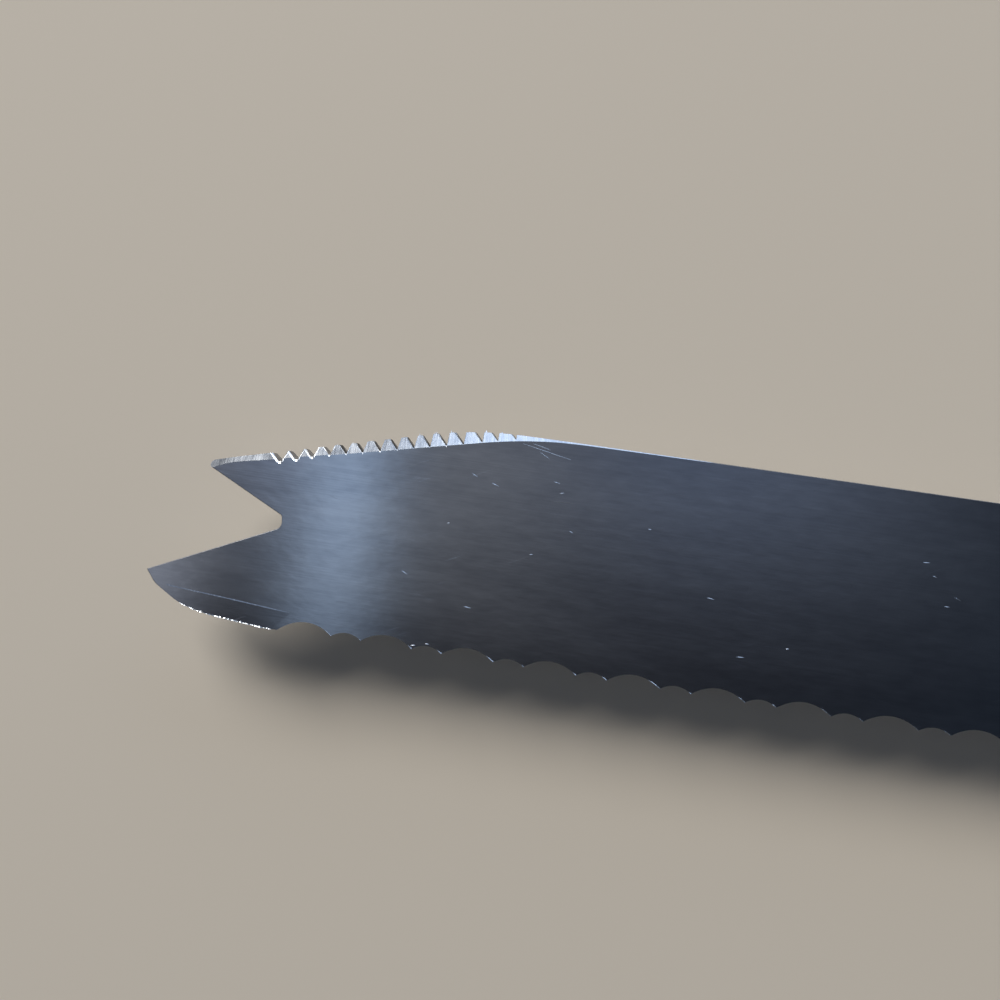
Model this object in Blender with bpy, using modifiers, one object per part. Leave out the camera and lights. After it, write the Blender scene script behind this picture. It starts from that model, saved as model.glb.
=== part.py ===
"""A steak knife: a stamped blade with a forked tip, a scalloped edge and a saw-toothed back.

The full tang is gripped between two wooden scales by three compression rivets, each made of
a tubed half from below and a pinned half from above.

Knife coordinates, in metres: X runs from the lower prong's tip to the end of the handle,
Y from the line of the serration points to the back, Z up from the middle of the blade's
thickness. One empty carries every piece and puts the origin under the middle of the knife.
"""

import math

import bmesh
import bpy

# Blade blank
BLADE_LENGTH = 0.1250  # lower prong's tip to the front of the handle
BLADE_WIDTH = 0.0211  # serration points to the back
BLADE_THICKNESS = 0.0015

# Forked tip
LOWER_PRONG_TIP = 0.0037  # height of the lower prong's tip above the serration points
UPPER_PRONG_SETBACK = 0.0036  # how far the upper prong's tip lies behind the lower one
FORK_DEPTH = 0.0129  # lower prong's tip to the corner of the notch
FORK_ROOT_OFFSET = 0.0006  # how far the corner lies above midway between the prongs
FORK_ROOT_RADIUS = 0.0008
LOWER_PRONG_RADIUS = 0.00015
UPPER_PRONG_RADIUS = 0.0004

# Back: a sloping front stretch that rounds over into the straight back
SLOPE_ANGLE = math.radians(14.9)
SLOPE_LENGTH = 0.0286  # lower prong's tip to where the slope would meet the straight back
CROWN_RADIUS = 0.0350
BACK_BEVEL_WIDTH = 0.00135  # at the middle of the slope, on the front face
BACK_BEVEL_ANGLE = math.radians(36.0)
BACK_BEVEL_TAPER = math.radians(1.4)  # how much flatter the bevel line runs than the slope

# Saw teeth on the back
NOTCH_COUNT = 15
NOTCH_PITCH = 0.00160  # along the slope
NOTCH_START = 0.01085  # first gullet's distance behind the lower prong's tip
NOTCH_DEPTH = 0.00116
NOTCH_FRONT_FLANK = math.radians(59.0)  # flank on the tip's side, from the slope
NOTCH_REAR_FLANK = math.radians(67.0)
NOTCH_ROOT_RADIUS = 0.00010
NOTCH_FILL = 0.98  # most of the pitch that a notch may take
NOTCH_TILT = math.radians(14.0)  # the notches reach deeper on the front face

# Plain belly under the lower prong, through three rounded corners
BELLY_TOE = (0.0009, 0.0019, 0.0020)
BELLY_TURN = (0.0034, 0.0005, 0.0080)
BELLY_LEVEL_AT = 0.0088
BELLY_LEVEL_RADIUS = 0.0250
BELLY_DROP = 0.0003  # how far the blank reaches below the line of serration points
BELLY_LINE_FRONT = 0.0024  # grind line above the serration points, at the prong's tip
BELLY_LINE_REAR = 0.00145  # the same line at its other end
BELLY_LINE_END = 0.0142  # that end's distance behind the lower prong's tip
BELLY_RUN_OUT = 0.80  # how far the bevel's end leans back towards the tip, per unit of drop
BELLY_BEVEL_ANGLE = math.radians(9.0)
BELLY_EDGE_THICKNESS = 0.0004

# Scalloped edge, ground into the back face in pairs of one long and one short scallop
SERRATION_START = 0.0135
LONG_SCALLOP = 0.00486
SHORT_SCALLOP = 0.00282
LONG_SCALLOP_DEPTH = 0.00087
SHORT_SCALLOP_DEPTH = 0.00047
GRIND_ANGLE = math.radians(22.0)
HEEL_LENGTH = 0.0060  # handle front to the corner of the heel
HEEL_PLAIN_EDGE = 0.0050  # least plain edge between the last scallop and the heel
HEEL_RADIUS = 0.0012
CHOIL_RUN = 0.0020  # how far the heel slopes back to the plain shank
CHOIL_RADIUS = 0.0015

# Handle: heights are above the serration points, places from its front or its end
HANDLE_LENGTH = 0.1120
HANDLE_FRONT_BOTTOM = 0.0022
SWELL_AT = 0.0260
SWELL_DEPTH = 0.0024  # fullest point under the fingers, below the serration points
SWELL_RADIUS = 0.0450
PALM_RISE = 0.0012  # how far the palm side stands above the back of the blade
PALM_RADIUS = 0.1000
WAIST_FROM_END = 0.0420
WAIST_HEIGHT = 0.0022
WAIST_RADIUS = 0.0600
WAIST_TOP_DROP = 0.0004
POMMEL_FROM_END = 0.0100
POMMEL_DEPTH = 0.0050
POMMEL_RADIUS = 0.0090
END_HEIGHT = 0.0060
END_RADIUS = 0.0140
END_LEAN = 0.0030
END_TOP_RISE = 0.0007
END_TOP_RADIUS = 0.0080
SCALE_THICKNESS = 0.0062
SCALE_EDGE_RADIUS = 0.0030
SCALE_CORNER_RADIUS = 0.0045
GLUE_GAP = 0.0001  # between tang and scale

# Rivets, in a row along the middle of the blade's width
RIVET_COUNT = 3
RIVET_INSET = 0.0180  # first and last rivet from the ends of the handle
RIVET_HEAD_DIAMETER = 0.0080
RIVET_HEAD_THICKNESS = 0.0020
RIVET_TUBE_DIAMETER = 0.0042
RIVET_TUBE_WALL = 0.0004
RIVET_CHAMFER = 0.0002
RIVET_RECESS = 0.00005  # heads below the flat of the scales
RIVET_CLEARANCE = 0.0002  # round and under each half

# How finely curves are drawn
ARC_TOLERANCE = 0.00001
MOST_ARC_STEP = math.radians(15.0)
TURNED_STEPS = 32
WELD_DISTANCE = 0.000001
SAME_PLANE = math.radians(0.05)
SHARP_EDGE = math.radians(30.0)
EDGE_STEPS = 4
CUTTER_MARGIN = 0.0040

FACE_Z = BLADE_THICKNESS / 2
SCALE_INNER_Z = FACE_Z + GLUE_GAP
SCALE_OUTER_Z = SCALE_INNER_Z + SCALE_THICKNESS
RIVET_TOP_Z = SCALE_OUTER_Z - RIVET_RECESS
RIVET_SEAT_Z = RIVET_TOP_Z - RIVET_HEAD_THICKNESS


def clear_scene():
    for obj in list(bpy.data.objects):
        bpy.data.objects.remove(obj)


def new_collection(name):
    collection = bpy.data.collections.new(name)
    bpy.context.scene.collection.children.link(collection)
    return collection


def material(name, colour, roughness, metallic):
    made = bpy.data.materials.new(name)
    made.use_nodes = True
    shader = made.node_tree.nodes["Principled BSDF"]
    shader.inputs["Base Color"].default_value = (*colour, 1.0)
    shader.inputs["Roughness"].default_value = roughness
    shader.inputs["Metallic"].default_value = metallic
    made.diffuse_color = (*colour, 1.0)
    return made


def arc_steps(radius, turn):
    """How many straight steps draw an arc of this radius through this angle."""
    fine = 2 * math.acos(max(0.0, 1 - ARC_TOLERANCE / radius))
    return max(1, math.ceil(abs(turn) / min(fine, MOST_ARC_STEP)))


def rounded_outline(corners):
    """The closed outline through the corners (x, y, radius), each rounded by its radius."""
    outline = []
    for index, (x, y, radius) in enumerate(corners):
        before_x, before_y, _ = corners[index - 1]
        after_x, after_y, _ = corners[(index + 1) % len(corners)]
        length_in = math.hypot(x - before_x, y - before_y)
        length_out = math.hypot(after_x - x, after_y - y)
        heading_in = math.atan2(y - before_y, x - before_x)
        heading_out = math.atan2(after_y - y, after_x - x)
        turn = math.remainder(heading_out - heading_in, math.tau)
        half_tangent = math.tan(abs(turn) / 2)
        reach = min(radius * half_tangent, 0.49 * length_in, 0.49 * length_out)
        if reach < ARC_TOLERANCE:
            outline.append((x, y))
            continue
        fitted = reach / half_tangent
        start_x = x - reach * math.cos(heading_in)
        start_y = y - reach * math.sin(heading_in)
        side = math.copysign(fitted, turn)
        centre_x = start_x - side * math.sin(heading_in)
        centre_y = start_y + side * math.cos(heading_in)
        steps = arc_steps(fitted, turn)
        for step in range(steps + 1):
            heading = heading_in + turn * step / steps
            outline.append(
                (centre_x + side * math.sin(heading), centre_y - side * math.cos(heading))
            )
    return outline


def finished_mesh(mesh):
    """Welds the mesh, joins its flat triangles into whole faces and turns them outwards."""
    work = bmesh.new()
    work.from_mesh(mesh)
    bmesh.ops.remove_doubles(work, verts=work.verts, dist=WELD_DISTANCE)
    bmesh.ops.dissolve_limit(
        work, angle_limit=SAME_PLANE, verts=work.verts, edges=work.edges
    )
    bmesh.ops.recalc_face_normals(work, faces=work.faces)
    work.to_mesh(mesh)
    work.free()


def drawn_mesh(drawing, name):
    """The mesh that a drawn outline or profile makes; the drawing itself is removed."""
    bpy.context.scene.collection.objects.link(drawing)
    evaluated = drawing.evaluated_get(bpy.context.evaluated_depsgraph_get())
    mesh = bpy.data.meshes.new_from_object(evaluated)
    bpy.data.objects.remove(drawing)
    mesh.name = name
    finished_mesh(mesh)
    return mesh


def new_object(name, mesh, collection):
    obj = bpy.data.objects.new(name, mesh)
    collection.objects.link(obj)
    return obj


def flat_object(name, outline, thickness, collection):
    """A plate of this thickness and outline, centred on its own Z = 0."""
    curve = bpy.data.curves.new(name + "_outline", "CURVE")
    curve.dimensions = "2D"
    curve.fill_mode = "BOTH"
    curve.extrude = thickness / 2
    spline = curve.splines.new("POLY")
    spline.points.add(len(outline) - 1)
    for point, (x, y) in zip(spline.points, outline):
        point.co = (x, y, 0.0, 1.0)
    spline.use_cyclic_u = True
    drawing = bpy.data.objects.new(name + "_outline", curve)
    return new_object(name, drawn_mesh(drawing, name), collection)


def turned_mesh(name, profile):
    """A turned piece from its profile (radius, height), from its top round its outer side."""
    line = bpy.data.meshes.new(name + "_profile")
    points = [(radius, 0.0, height) for radius, height in profile]
    line.from_pydata(points, [(i, i + 1) for i in range(len(points) - 1)], [])
    drawing = bpy.data.objects.new(name + "_profile", line)
    turn = drawing.modifiers.new("turn", "SCREW")
    turn.axis = "Z"
    turn.steps = TURNED_STEPS
    turn.render_steps = TURNED_STEPS
    turn.use_merge_vertices = True
    turn.merge_threshold = WELD_DISTANCE
    mesh = drawn_mesh(drawing, name)
    mesh.shade_smooth()
    mesh.set_sharp_from_angle(angle=SHARP_EDGE)
    return mesh


def make_cutter(obj):
    obj.hide_render = True
    obj.display_type = "WIRE"
    return obj


def cut(obj, cutter):
    modifier = obj.modifiers.new("cut_" + cutter.name, "BOOLEAN")
    modifier.operation = "DIFFERENCE"
    modifier.solver = "EXACT"
    modifier.object = cutter


def slope_height(x):
    """Height of the sloping back, as if it ran on as a straight line."""
    return BLADE_WIDTH - (SLOPE_LENGTH - x) * math.tan(SLOPE_ANGLE)


def handle_corners():
    """The handle's corners behind its front, shared by the tang and the scales."""
    front = BLADE_LENGTH
    end = front + HANDLE_LENGTH
    waist = end - WAIST_FROM_END
    return [
        (front + SWELL_AT, -SWELL_DEPTH, SWELL_RADIUS),
        (waist, WAIST_HEIGHT, WAIST_RADIUS),
        (end - POMMEL_FROM_END, -POMMEL_DEPTH, POMMEL_RADIUS),
        (end, END_HEIGHT, END_RADIUS),
        (end - END_LEAN, BLADE_WIDTH + END_TOP_RISE, END_TOP_RADIUS),
        (waist, BLADE_WIDTH - WAIST_TOP_DROP, WAIST_RADIUS),
        (front + SWELL_AT, BLADE_WIDTH + PALM_RISE, PALM_RADIUS),
    ]


def blade_outline():
    """The blank's outline, tip to pommel and back, with the fork but no teeth yet."""
    heel = BLADE_LENGTH - HEEL_LENGTH
    upper_tip = slope_height(UPPER_PRONG_SETBACK)
    fork_root = (LOWER_PRONG_TIP + upper_tip) / 2 + FORK_ROOT_OFFSET
    corners = [
        (0.0, LOWER_PRONG_TIP, LOWER_PRONG_RADIUS),
        BELLY_TOE,
        BELLY_TURN,
        (BELLY_LEVEL_AT, -BELLY_DROP, BELLY_LEVEL_RADIUS),
        (heel, -BELLY_DROP, HEEL_RADIUS),
        (heel + CHOIL_RUN, HANDLE_FRONT_BOTTOM, CHOIL_RADIUS),
        (BLADE_LENGTH, HANDLE_FRONT_BOTTOM, SCALE_CORNER_RADIUS),
        *handle_corners(),
        (BLADE_LENGTH, BLADE_WIDTH, SCALE_CORNER_RADIUS),
        (SLOPE_LENGTH, BLADE_WIDTH, CROWN_RADIUS),
        (UPPER_PRONG_SETBACK, upper_tip, UPPER_PRONG_RADIUS),
        (FORK_DEPTH, fork_root, FORK_ROOT_RADIUS),
    ]
    return rounded_outline(corners)


def scale_outline():
    """A scale's outline: the handle's, closed by a front with two round corners."""
    corners = [
        (BLADE_LENGTH, HANDLE_FRONT_BOTTOM, SCALE_CORNER_RADIUS),
        *handle_corners(),
        (BLADE_LENGTH, BLADE_WIDTH, SCALE_CORNER_RADIUS),
    ]
    return rounded_outline(corners)


def scallop(start, chord, depth, first_level, last_level):
    """One scallop's arc, in the plane square to the grind, between two levels of metal."""
    sag = depth * math.sin(GRIND_ANGLE)
    radius = (chord**2 / 4 + sag**2) / (2 * sag)
    middle = start + chord / 2
    centre = radius - sag
    low = -math.acos((centre - first_level) / radius)
    high = math.acos((centre - last_level) / radius)
    steps = arc_steps(radius, high - low)
    angles = [low + (high - low) * step / steps for step in range(steps + 1)]
    return [
        (middle + radius * math.sin(angle), centre - radius * math.cos(angle))
        for angle in angles
    ]


def serration_cutter(collection):
    """The metal ground off the back face: a plain belly, then pairs of scallops."""
    room = BLADE_LENGTH - HEEL_LENGTH - HEEL_PLAIN_EDGE - SERRATION_START
    pairs = int(room / (LONG_SCALLOP + SHORT_SCALLOP))
    belly_bevel_depth = (BELLY_LINE_REAR + BELLY_DROP) * math.tan(BELLY_BEVEL_ANGLE)
    belly_level = BELLY_DROP * math.sin(GRIND_ANGLE) + (
        belly_bevel_depth + BELLY_EDGE_THICKNESS
    ) * math.cos(GRIND_ANGLE)
    run_out = BLADE_THICKNESS + BELLY_DROP
    far = run_out + CUTTER_MARGIN
    outline = [(-CUTTER_MARGIN, far), (-CUTTER_MARGIN, belly_level)]
    start = SERRATION_START
    for pair in range(pairs):
        first_level = belly_level if pair == 0 else 0.0
        last_level = run_out if pair == pairs - 1 else 0.0
        outline += scallop(start, LONG_SCALLOP, LONG_SCALLOP_DEPTH, first_level, 0.0)
        start += LONG_SCALLOP
        outline += scallop(start, SHORT_SCALLOP, SHORT_SCALLOP_DEPTH, 0.0, last_level)[1:]
        start += SHORT_SCALLOP
        if pair < pairs - 1:
            outline.pop()
    outline.append((outline[-1][0], far))
    length = 2 * (BLADE_THICKNESS / math.sin(GRIND_ANGLE) + CUTTER_MARGIN)
    cutter = flat_object("serration_cutter", outline, length, collection)
    cutter.location = (0.0, 0.0, FACE_Z)
    cutter.rotation_euler = (-math.pi / 2 - GRIND_ANGLE, 0.0, 0.0)
    return make_cutter(cutter)


def notch_cutter(collection):
    """A comb of V teeth along a line under the sloping back, deeper at the front face."""
    lean_front = 1 / math.tan(NOTCH_FRONT_FLANK)
    lean_rear = 1 / math.tan(NOTCH_REAR_FLANK)
    height = NOTCH_DEPTH + NOTCH_ROOT_RADIUS
    height = min(height, NOTCH_FILL * NOTCH_PITCH / (lean_front + lean_rear))
    far = height + CUTTER_MARGIN
    corners = [(-height * lean_front, far, 0.0)]
    for index in range(NOTCH_COUNT):
        x = index * NOTCH_PITCH
        corners.append((x - height * lean_front, height, 0.0))
        corners.append((x, 0.0, NOTCH_ROOT_RADIUS))
        corners.append((x + height * lean_rear, height, 0.0))
    corners.append((corners[-1][0], far, 0.0))
    outline = rounded_outline(corners)
    cutter = flat_object("notch_cutter", outline, 4 * BLADE_THICKNESS, collection)
    gullet = slope_height(NOTCH_START) - NOTCH_DEPTH / math.cos(SLOPE_ANGLE)
    cutter.location = (NOTCH_START, gullet, -FACE_Z)
    cutter.rotation_euler = (NOTCH_TILT, 0.0, SLOPE_ANGLE)
    return make_cutter(cutter)


def wedge_cutter(name, start, heading, length, tilt, lean, collection):
    """A block whose underside starts on a line of the front face and dips by the tilt."""
    span = 2 * CUTTER_MARGIN
    outline = [(0.0, 0.0), (length, 0.0), (length, span), (lean * span, span)]
    cutter = flat_object(name, outline, CUTTER_MARGIN, collection)
    for vertex in cutter.data.vertices:
        vertex.co.z += CUTTER_MARGIN / 2
    cutter.location = (*start, FACE_Z)
    cutter.rotation_euler = (-tilt, 0.0, heading)
    return make_cutter(cutter)


def back_bevel_cutter(collection):
    """The satin bevel along the sloping back, which runs out on the straight back."""
    heading = SLOPE_ANGLE - BACK_BEVEL_TAPER
    middle_x = (UPPER_PRONG_SETBACK + SLOPE_LENGTH) / 2
    middle_y = slope_height(middle_x) - BACK_BEVEL_WIDTH / math.cos(SLOPE_ANGLE)
    reach = SLOPE_LENGTH
    start = (middle_x - reach * math.cos(heading), middle_y - reach * math.sin(heading))
    return wedge_cutter(
        "back_bevel_cutter", start, heading, 2 * reach, BACK_BEVEL_ANGLE, 0.0, collection
    )


def belly_bevel_cutter(collection):
    """The narrow front bevel of the plain belly, from its grind line down to the edge."""
    drop = math.atan2(BELLY_LINE_FRONT - BELLY_LINE_REAR, BELLY_LINE_END)
    return wedge_cutter(
        "belly_bevel_cutter",
        (BELLY_LINE_END, BELLY_LINE_REAR),
        math.pi - drop,
        BELLY_LINE_END + CUTTER_MARGIN,
        BELLY_BEVEL_ANGLE,
        BELLY_RUN_OUT,
        collection,
    )


def rivet_places():
    spacing = (HANDLE_LENGTH - 2 * RIVET_INSET) / (RIVET_COUNT - 1)
    first = BLADE_LENGTH + RIVET_INSET
    return [(first + i * spacing, BLADE_WIDTH / 2, 0.0) for i in range(RIVET_COUNT)]


def rivet_hole_cutters(collection):
    """One spool for each rivet: the two head seats with the through hole between them."""
    head = RIVET_HEAD_DIAMETER / 2 + RIVET_CLEARANCE
    hole = RIVET_TUBE_DIAMETER / 2 + RIVET_CLEARANCE
    seat = RIVET_SEAT_Z - RIVET_CLEARANCE
    end = SCALE_OUTER_Z + CUTTER_MARGIN
    profile = [
        (0.0, end),
        (head, end),
        (head, seat),
        (hole, seat),
        (hole, -seat),
        (head, -seat),
        (head, -end),
        (0.0, -end),
    ]
    mesh = turned_mesh("rivet_hole", profile)
    cutters = []
    for number, place in enumerate(rivet_places(), start=1):
        cutter = new_object(f"rivet_hole_{number}", mesh, collection)
        cutter.location = place
        cutters.append(make_cutter(cutter))
    return cutters


def make_blade(collection, cutters, finish):
    blade = flat_object("blade_and_tang", blade_outline(), BLADE_THICKNESS, collection)
    for cutter in cutters:
        cut(blade, cutter)
    blade.data.materials.append(finish)
    return blade


def make_scale(name, side, collection, holes, finish):
    """One handle scale; side is 1 for the upper and -1 for the lower."""
    scale = flat_object(name, scale_outline(), SCALE_THICKNESS, collection)
    rim = scale.vertex_groups.new(name="outer_rim")
    outer = [v.index for v in scale.data.vertices if v.co.z * side > 0]
    rim.add(outer, 1.0, "REPLACE")
    edge = scale.modifiers.new("rounded_edge", "BEVEL")
    edge.limit_method = "VGROUP"
    edge.vertex_group = rim.name
    edge.width = min(SCALE_EDGE_RADIUS, 0.9 * SCALE_THICKNESS)
    edge.segments = EDGE_STEPS
    scale.data.shade_smooth()
    scale.data.set_sharp_from_angle(angle=SHARP_EDGE)
    for hole in holes:
        cut(scale, hole)
    scale.location.z = side * (SCALE_INNER_Z + SCALE_THICKNESS / 2)
    scale.data.materials.append(finish)
    return scale


def make_rivets(collection, finish):
    """Each rivet is a tubed half from below and a pinned half pressed in from above."""
    head = RIVET_HEAD_DIAMETER / 2
    tube = RIVET_TUBE_DIAMETER / 2
    bore = tube - RIVET_TUBE_WALL
    pin = bore - RIVET_CLEARANCE
    rim = RIVET_TOP_Z - RIVET_CHAMFER
    tube_end = RIVET_CLEARANCE - RIVET_SEAT_Z
    bore_end = RIVET_SEAT_Z
    pin_end = RIVET_CLEARANCE - bore_end
    cap = [(0.0, RIVET_TOP_Z), (head - RIVET_CHAMFER, RIVET_TOP_Z), (head, rim)]
    cap.append((head, RIVET_SEAT_Z))
    tubed = cap + [(tube, RIVET_SEAT_Z), (tube, tube_end), (bore, tube_end)]
    tubed += [(bore, bore_end), (0.0, bore_end)]
    pinned = cap + [(pin, RIVET_SEAT_Z), (pin, pin_end + RIVET_CHAMFER)]
    pinned += [(pin - RIVET_CHAMFER, pin_end), (0.0, pin_end)]
    tubed_mesh = turned_mesh("rivet_tube_half", tubed)
    pinned_mesh = turned_mesh("rivet_pin_half", pinned)
    for mesh in (tubed_mesh, pinned_mesh):
        mesh.materials.append(finish)
    rivets = []
    for number, place in enumerate(rivet_places(), start=1):
        lower = new_object(f"rivet_{number}_tube_half", tubed_mesh, collection)
        lower.location = place
        lower.rotation_euler = (math.pi, 0.0, 0.0)
        upper = new_object(f"rivet_{number}_pin_half", pinned_mesh, collection)
        upper.location = place
        rivets += [lower, upper]
    return rivets


def knife_frame(collection):
    """The empty that puts the origin under the middle of the knife's outline."""
    outline = blade_outline()
    xs = [x for x, _ in outline]
    ys = [y for _, y in outline]
    frame = bpy.data.objects.new("knife_frame", None)
    frame.location = (
        -(min(xs) + max(xs)) / 2,
        -(min(ys) + max(ys)) / 2,
        SCALE_OUTER_Z,
    )
    collection.objects.link(frame)
    return frame


def main():
    clear_scene()
    parts = new_collection("steak_knife")
    cutters = new_collection("cutters")
    steel = material("polished_steel", (0.56, 0.57, 0.60), 0.14, 1.0)
    wood = material("oiled_hardwood", (0.115, 0.045, 0.022), 0.45, 0.0)
    brass = material("brass", (0.70, 0.50, 0.24), 0.25, 1.0)

    holes = rivet_hole_cutters(cutters)
    edge_cutters = [
        serration_cutter(cutters),
        belly_bevel_cutter(cutters),
        back_bevel_cutter(cutters),
        notch_cutter(cutters),
    ]
    pieces = [make_blade(parts, edge_cutters + holes, steel)]
    pieces.append(make_scale("upper_scale", 1, parts, holes, wood))
    pieces.append(make_scale("lower_scale", -1, parts, holes, wood))
    pieces += make_rivets(parts, brass)

    frame = knife_frame(parts)
    for obj in pieces + edge_cutters + holes:
        obj.parent = frame
    bpy.context.view_layer.update()


main()
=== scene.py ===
# A table knife with a forked tip: its fine shapes and finishes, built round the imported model.
# Lengths are millimetres in the knife's own directions: X from the lower prong's tip to the end
# of the handle, Y from the line of the serration points to the back, Z up from mid-thickness.
import random
from math import (
    acos, atan, atan2, ceil, copysign, cos, exp, hypot, pi, radians, remainder, sin, sqrt, tan, tau,
)

import bmesh
import bpy
from mathutils import Matrix, Vector


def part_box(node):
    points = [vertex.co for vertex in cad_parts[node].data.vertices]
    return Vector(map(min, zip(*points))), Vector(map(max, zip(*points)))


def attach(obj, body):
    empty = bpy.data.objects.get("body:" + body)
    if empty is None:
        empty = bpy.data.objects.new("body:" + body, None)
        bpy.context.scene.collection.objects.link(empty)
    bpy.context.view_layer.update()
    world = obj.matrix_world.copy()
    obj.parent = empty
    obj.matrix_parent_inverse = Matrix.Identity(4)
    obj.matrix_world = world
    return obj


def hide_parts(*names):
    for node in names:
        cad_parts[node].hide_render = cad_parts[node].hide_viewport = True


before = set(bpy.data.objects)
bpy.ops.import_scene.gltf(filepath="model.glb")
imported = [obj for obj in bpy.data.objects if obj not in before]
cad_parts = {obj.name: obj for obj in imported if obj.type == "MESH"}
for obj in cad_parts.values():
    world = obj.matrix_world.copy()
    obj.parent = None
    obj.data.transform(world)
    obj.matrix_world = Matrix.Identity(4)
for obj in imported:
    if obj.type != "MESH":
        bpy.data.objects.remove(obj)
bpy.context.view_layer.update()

mm = 0.001

# The camera looks almost straight down on the front half of the blade, from close above it
photoCamera = {
    "place": (36.34, 14.28, 70.0),
    "angles": (0.99, 3.36, 8.46),  # degrees about X, Y and Z
    "lens": 27.0,
    "sensor": 36.0,
    "clip": (0.001, 50.0),  # metres
}

# Soft panels aimed at the blade; turn is degrees from straight behind its back, tip side negative
panels = {
    "key": {"size": (1700, 1390), "distance": 3200, "elevation": 37, "turn": -34,
            "colour": "#fffaf2", "power": 106.0},
    "back": {"size": (3400, 1300), "distance": 2600, "elevation": 17, "turn": 13,
             "colour": "#cee0f8", "power": 21.0},
}

studio = {
    "aim": (45.0, 8.0, 0.0),
    "floorColour": "#cdc6bb",
    "floorSize": 4600.0,  # ends in front of the panels, so no unlit floor shows behind them
    "floorRoughness": 0.85,
    "roomTones": [(0.05, "#56595e"), (0.6, "#404348"), (0.92, "#686b72")],  # by height
    "leastHeight": 0.05,  # keeps the slopes finite at the horizon
    "backdropColour": "#efece6",
}

# Soft patches of the dim room overhead: slope (x, y) per unit of height, spread, colour, amount
roomPatches = [
    ((0.10, -0.38), (1.20, 0.32), "#121114", 0.97),
    ((0.80, 0.00), (0.34, 0.90), "#232c38", 0.85),
    ((0.18, 0.18), (0.20, 0.12), "#75849f", 0.7),
    ((-0.13, 0.12), (0.12, 0.15), "#93979f", 0.6),
    ((-0.36, 0.14), (0.075, 0.10), "#b4c5e4", 0.85),
    ((-0.53, -0.16), (0.045, 0.12), "#b4bac8", 0.9),
    ((-0.272, 0.03), (0.042, 0.19), "#c2daf8", 0.88),
]


# Places

def knifeOrigin():
    low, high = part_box("blade_and_tang")
    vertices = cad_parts["blade_and_tang"].data.vertices
    front = [v.co for v in vertices if v.co.x < low.x + 60 * mm]
    spine = max(co.y for co in front)
    return Vector((low.x - 0.05 * mm, spine - blade["width"] * mm, (low.z + high.z) / 2))


def linearColour(hexColour):
    channels = [int(hexColour[i:i + 2], 16) / 255 for i in (1, 3, 5)]
    linear = [c / 12.92 if c <= 0.04045 else ((c + 0.055) / 1.055) ** 2.4 for c in channels]
    return (*linear, 1.0)


# Materials

def feed(tree, node, values=None, links=None):
    # values and links are keyed by the input's name or number; a link is (node, output)
    for key, value in (values or {}).items():
        node.inputs[key].default_value = value
    for key, (source, output) in (links or {}).items():
        tree.links.new(source.outputs[output], node.inputs[key])


def addNode(tree, kind, settings=None, values=None, links=None, stops=None):
    node = tree.nodes.new("ShaderNode" + kind)
    for key, value in (settings or {}).items():
        setattr(node, key, value)
    feed(tree, node, values, links)
    for index, (place, colour) in enumerate(stops or []):
        ramp = node.color_ramp.elements
        stop = ramp[index] if index < 2 else ramp.new(place)
        stop.position = place
        stop.color = linearColour(colour)
    return node


def newMaterial(name):
    made = bpy.data.materials.new(name)
    made.use_nodes = True
    tree = made.node_tree
    return made, tree, tree.nodes["Principled BSDF"]


def millimetres(tree, spacing, slant=0):
    # object coordinates, turned about Z and then divided so that one unit of pattern is this
    # many millimetres each way
    place = addNode(tree, "TexCoord")
    return addNode(
        tree, "Mapping", {"vector_type": "TEXTURE"},
        {"Scale": [s * mm for s in spacing], "Rotation": (0, 0, radians(slant))},
        {"Vector": (place, "Object")},
    )


def addPattern(tree, kind, spacing, values=None, slant=0):
    # a texture of any kind whose pattern has these spacings in millimetres
    place = millimetres(tree, spacing, slant)
    return addNode(tree, kind, None, {"Scale": 1.0, **(values or {})}, {"Vector": (place, "Vector")})


def addShare(tree, part, share, rest):
    # the first output of one node, times a share, added to the first of another
    return addNode(tree, "Math", {"operation": "MULTIPLY_ADD"}, {1: share},
                   {0: (part, 0), 2: (rest, 0)})


def addReliefs(tree, reliefs):
    # bumps laid one over the other, each with its height, its strength and its depth in metres;
    # gives the link for the shader
    under = {}
    for height, strength, depth in reliefs:
        relief = addNode(tree, "Bump", None, {"Strength": strength, "Distance": depth},
                         {"Height": (height, 0), **under})
        under = {"Normal": (relief, "Normal")}
    return under


polish = {
    # spacings in mm along the blade, across it and through it
    "lines": (22.0, 0.11, 0.88),  # real lines are 0.02 mm apart, drawn coarser to show
    "smudges": (36.0, 9.0, 30.0),
    "waves": (16.0, 16.0, 60.0),
    "peel": (2.2, 0.8, 20.0),  # faint unevenness that mottles a reflected glow
    "scratches": (7.0, 0.11, 40.0),
    "scratchSlants": (-14, 27, 3),
    "scratchCrests": {"From Min": 0.74, "From Max": 0.79},  # the noise's highest crests only
    "scratchRoughness": 0.12,
    "smudgeRoughness": {"From Min": 0.35, "From Max": 0.7, "To Min": 0.13, "To Max": 0.165},
    # shares in the tone, beside the smudges
    "lineShare": 0.35,
    "peelShare": 0.45,
    "toneRange": {"From Min": 0.55, "From Max": 1.25},
    "tones": [(0.0, "#a3a6ad"), (1.0, "#d2d4d8")],
    # strength, and depth in metres
    "waveRelief": (0.35, 0.000007),
    "peelRelief": (0.7, 0.00001),
    "lineRelief": (0.16, 0.000006),
    "scratchRelief": (0.25, 0.000006),
    "acrossBlur": 0.70,
}


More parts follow.
